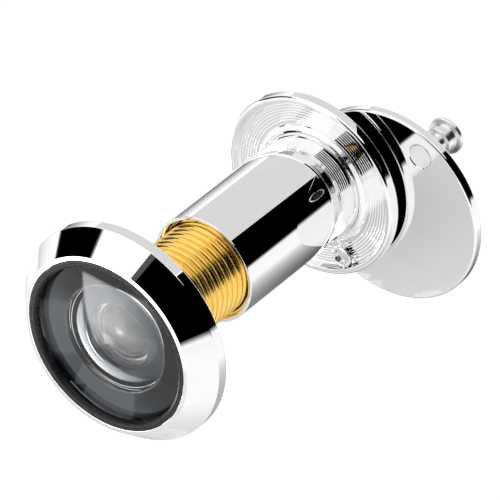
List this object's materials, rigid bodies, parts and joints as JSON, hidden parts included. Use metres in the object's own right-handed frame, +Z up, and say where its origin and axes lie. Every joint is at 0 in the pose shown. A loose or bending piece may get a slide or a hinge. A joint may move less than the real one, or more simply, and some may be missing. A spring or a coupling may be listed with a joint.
{
  "type": "door viewer",
  "caption": "Chrome door viewer with a domed wide-angle lens, a brass threaded barrel, a screw-on sleeve with a grooved indoor flange and a round swinging privacy cover with a knob.",
  "frame": {"origin": "centre of the outer flange's door-side seating face, on the viewing axis", "axes": "+Y along the viewing axis from outdoors to indoors, +X to the right as seen from outdoors, +Z up"},
  "size_m": [0.0364, 0.0485, 0.028],
  "materials": {
    "chrome": "mirror polished plating",
    "brass_thread": "bright gold-coloured thread",
    "black_bezel": "satin black",
    "baffle_black": "blackened, satin",
    "spacer_black": "matte black",
    "lens_glass": "polished optical glass",
    "seal_rubber": "matte black rubber",
    "nickel": "nickel-plated brass",
    "spring_steel": "bright spring steel"
  },
  "bodies": {
    "outer_unit": {"outer_flange": "chrome", "lens_bezel": "black_bezel", "lens_seal": "seal_rubber", "front_lens": "lens_glass", "light_baffle": "baffle_black", "threaded_barrel": "brass_thread", "inner_lens": "lens_glass", "front_spacer": "spacer_black", "relay_lens": "lens_glass", "rear_spacer": "spacer_black", "field_lens": "lens_glass", "barrel_retainer": "spacer_black"},
    "eyepiece_unit": {"eyepiece_seal": "seal_rubber", "eyepiece_lens": "lens_glass"},
    "sleeve_unit": {"sleeve": "chrome", "rear_flange": "chrome", "eyepiece_retainer": "chrome", "pivot_spacer": "nickel", "pivot_rivet": "nickel"},
    "cover_unit": {"privacy_cover": "chrome", "cover_knob": "chrome", "spring_washer": "spring_steel"}
  },
  "joints": [
    {"name": "sleeve_travel", "type": "slide", "parent": "outer_unit", "child": "eyepiece_unit", "axis": [0, 1, 0], "range_m": [-0.009, 0.0045]},
    {"name": "sleeve_turn", "type": "hinge", "parent": "eyepiece_unit", "child": "sleeve_unit", "pos_m": [0, 0.03, 0], "axis": [0, 1, 0], "range_deg": [-3245, 1625]},
    {"name": "cover_pivot", "type": "hinge", "parent": "sleeve_unit", "child": "cover_unit", "pos_m": [0.0047, 0.0388, -0.00848], "axis": [0, 1, 0], "continuous": true}
  ],
  "couplings": [
    {"joint": "sleeve_turn", "follows": "sleeve_travel", "rad_per_m": 6283.2}
  ]
}
